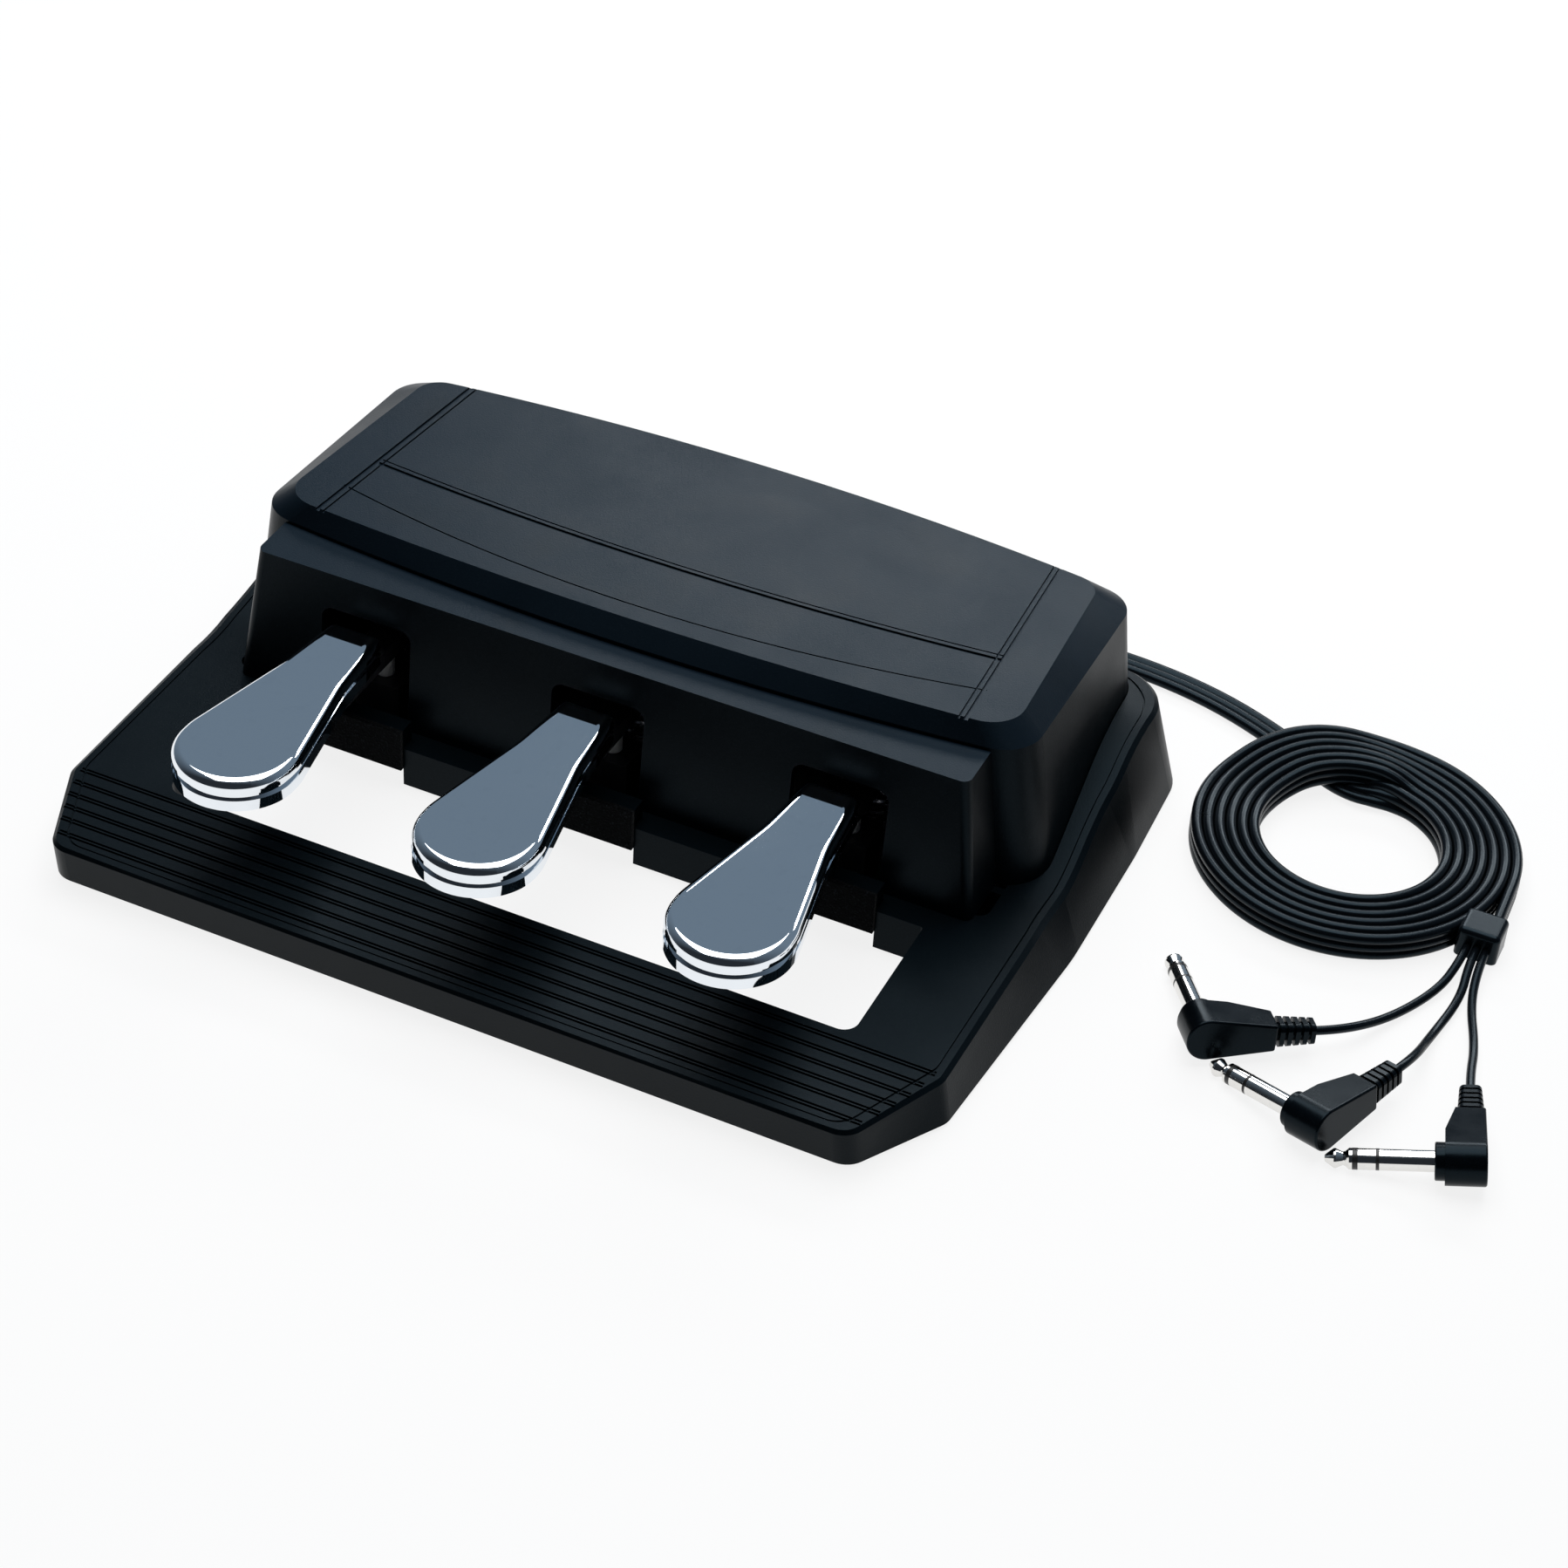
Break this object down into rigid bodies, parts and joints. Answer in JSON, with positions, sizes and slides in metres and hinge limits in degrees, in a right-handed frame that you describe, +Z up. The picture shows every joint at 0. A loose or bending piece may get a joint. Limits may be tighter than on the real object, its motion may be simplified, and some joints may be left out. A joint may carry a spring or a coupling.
{
  "type": "piano pedal unit",
  "caption": "Floor pedal unit for a digital piano: chrome foot pedals in a black moulded housing, with a flat ribbon cable wound in a coil that splits into right-angle jack plugs.",
  "frame": {"origin": "centre of the housing's footprint on the floor, without the cable", "axes": "+X to the player's right, +Y to the rear, away from the player, +Z up"},
  "size_m": [0.4566, 0.269, 0.0718],
  "materials": {
    "casing_black": "fine textured",
    "cover_black": "fine textured, satin",
    "pedal_chrome": "polished",
    "lever_black": "satin black paint",
    "zinc_sheet": "zinc plated",
    "bright_steel": "drawn",
    "dark_screw": "black zinc",
    "bush_nylon": "natural",
    "stop_felt": "dense felt",
    "foot_rubber": "matte",
    "board_green": "solder mask",
    "housing_black": "moulded",
    "cable_black": "soft PVC",
    "plug_black": "moulded",
    "plug_nickel": "nickel plated",
    "plug_band": "moulded"
  },
  "bodies": {
    "base": {"base_casing": "casing_black", "upper_cover": "cover_black", "bottom_plate": "zinc_sheet", "plate_screws": "dark_screw", "front_feet": "foot_rubber", "rear_feet": "foot_rubber", "pivot_frame": "zinc_sheet", "frame_screws": "dark_screw", "pedal_shaft": "bright_steel", "shaft_clips": "dark_screw", "up_stop_felt": "stop_felt", "sensor_board": "board_green", "strain_relief": "cable_black", "ribbon_lead": "cable_black", "ribbon_coil": "cable_black", "splitter": "cable_black", "stop_felt_left": "stop_felt", "spring_left": "bright_steel", "sensor_housing_left": "housing_black", "stop_felt_middle": "stop_felt", "spring_middle": "bright_steel", "sensor_housing_middle": "housing_black", "stop_felt_right": "stop_felt", "spring_right": "bright_steel", "sensor_housing_right": "housing_black", "cord_1": "cable_black", "plug_body_1": "plug_black", "plug_sleeve_1": "plug_nickel", "plug_ring_1": "plug_nickel", "plug_insulators_1": "plug_band", "plug_tip_1": "plug_nickel", "cord_2": "cable_black", "plug_body_2": "plug_black", "plug_sleeve_2": "plug_nickel", "plug_ring_2": "plug_nickel", "plug_insulators_2": "plug_band", "plug_tip_2": "plug_nickel", "cord_3": "cable_black", "plug_body_3": "plug_black", "plug_sleeve_3": "plug_nickel", "plug_ring_3": "plug_nickel", "plug_insulators_3": "plug_band", "plug_tip_3": "plug_nickel"},
    "pedal_left_body": {"pedal_left": "pedal_chrome", "lever_left": "lever_black", "bush_left": "bush_nylon", "pedal_screws_left": "dark_screw"},
    "plunger_left_body": {"sensor_plunger_left": "bush_nylon"},
    "pedal_middle_body": {"pedal_middle": "pedal_chrome", "lever_middle": "lever_black", "bush_middle": "bush_nylon", "pedal_screws_middle": "dark_screw"},
    "plunger_middle_body": {"sensor_plunger_middle": "bush_nylon"},
    "pedal_right_body": {"pedal_right": "pedal_chrome", "lever_right": "lever_black", "bush_right": "bush_nylon", "pedal_screws_right": "dark_screw"},
    "plunger_right_body": {"sensor_plunger_right": "bush_nylon"}
  },
  "joints": [
    {"name": "pedal_left_press", "type": "hinge", "parent": "base", "child": "pedal_left_body", "pos_m": [-0.082, 0.056, 0.036], "axis": [1, 0, 0], "range_deg": [0, 7], "stiffness_Nm_per_rad": 8, "springref_deg": -3.44, "deforming": ["spring_left"]},
    {"name": "plunger_left_slide", "type": "slide", "parent": "base", "child": "plunger_left_body", "axis": [0, 0, -1], "range_m": [0, 0.00743]},
    {"name": "pedal_middle_press", "type": "hinge", "parent": "base", "child": "pedal_middle_body", "pos_m": [0, 0.056, 0.036], "axis": [1, 0, 0], "range_deg": [0, 7], "stiffness_Nm_per_rad": 8, "springref_deg": -3.44, "deforming": ["spring_middle"]},
    {"name": "plunger_middle_slide", "type": "slide", "parent": "base", "child": "plunger_middle_body", "axis": [0, 0, -1], "range_m": [0, 0.00743]},
    {"name": "pedal_right_press", "type": "hinge", "parent": "base", "child": "pedal_right_body", "pos_m": [0.082, 0.056, 0.036], "axis": [1, 0, 0], "range_deg": [0, 7], "stiffness_Nm_per_rad": 8, "springref_deg": -3.44, "deforming": ["spring_right"]},
    {"name": "plunger_right_slide", "type": "slide", "parent": "base", "child": "plunger_right_body", "axis": [0, 0, -1], "range_m": [0, 0.00743]}
  ],
  "couplings": [
    {"joint": "plunger_left_slide", "follows": "pedal_left_press", "m_per_rad": 0.06},
    {"joint": "plunger_middle_slide", "follows": "pedal_middle_press", "m_per_rad": 0.06},
    {"joint": "plunger_right_slide", "follows": "pedal_right_press", "m_per_rad": 0.06}
  ]
}
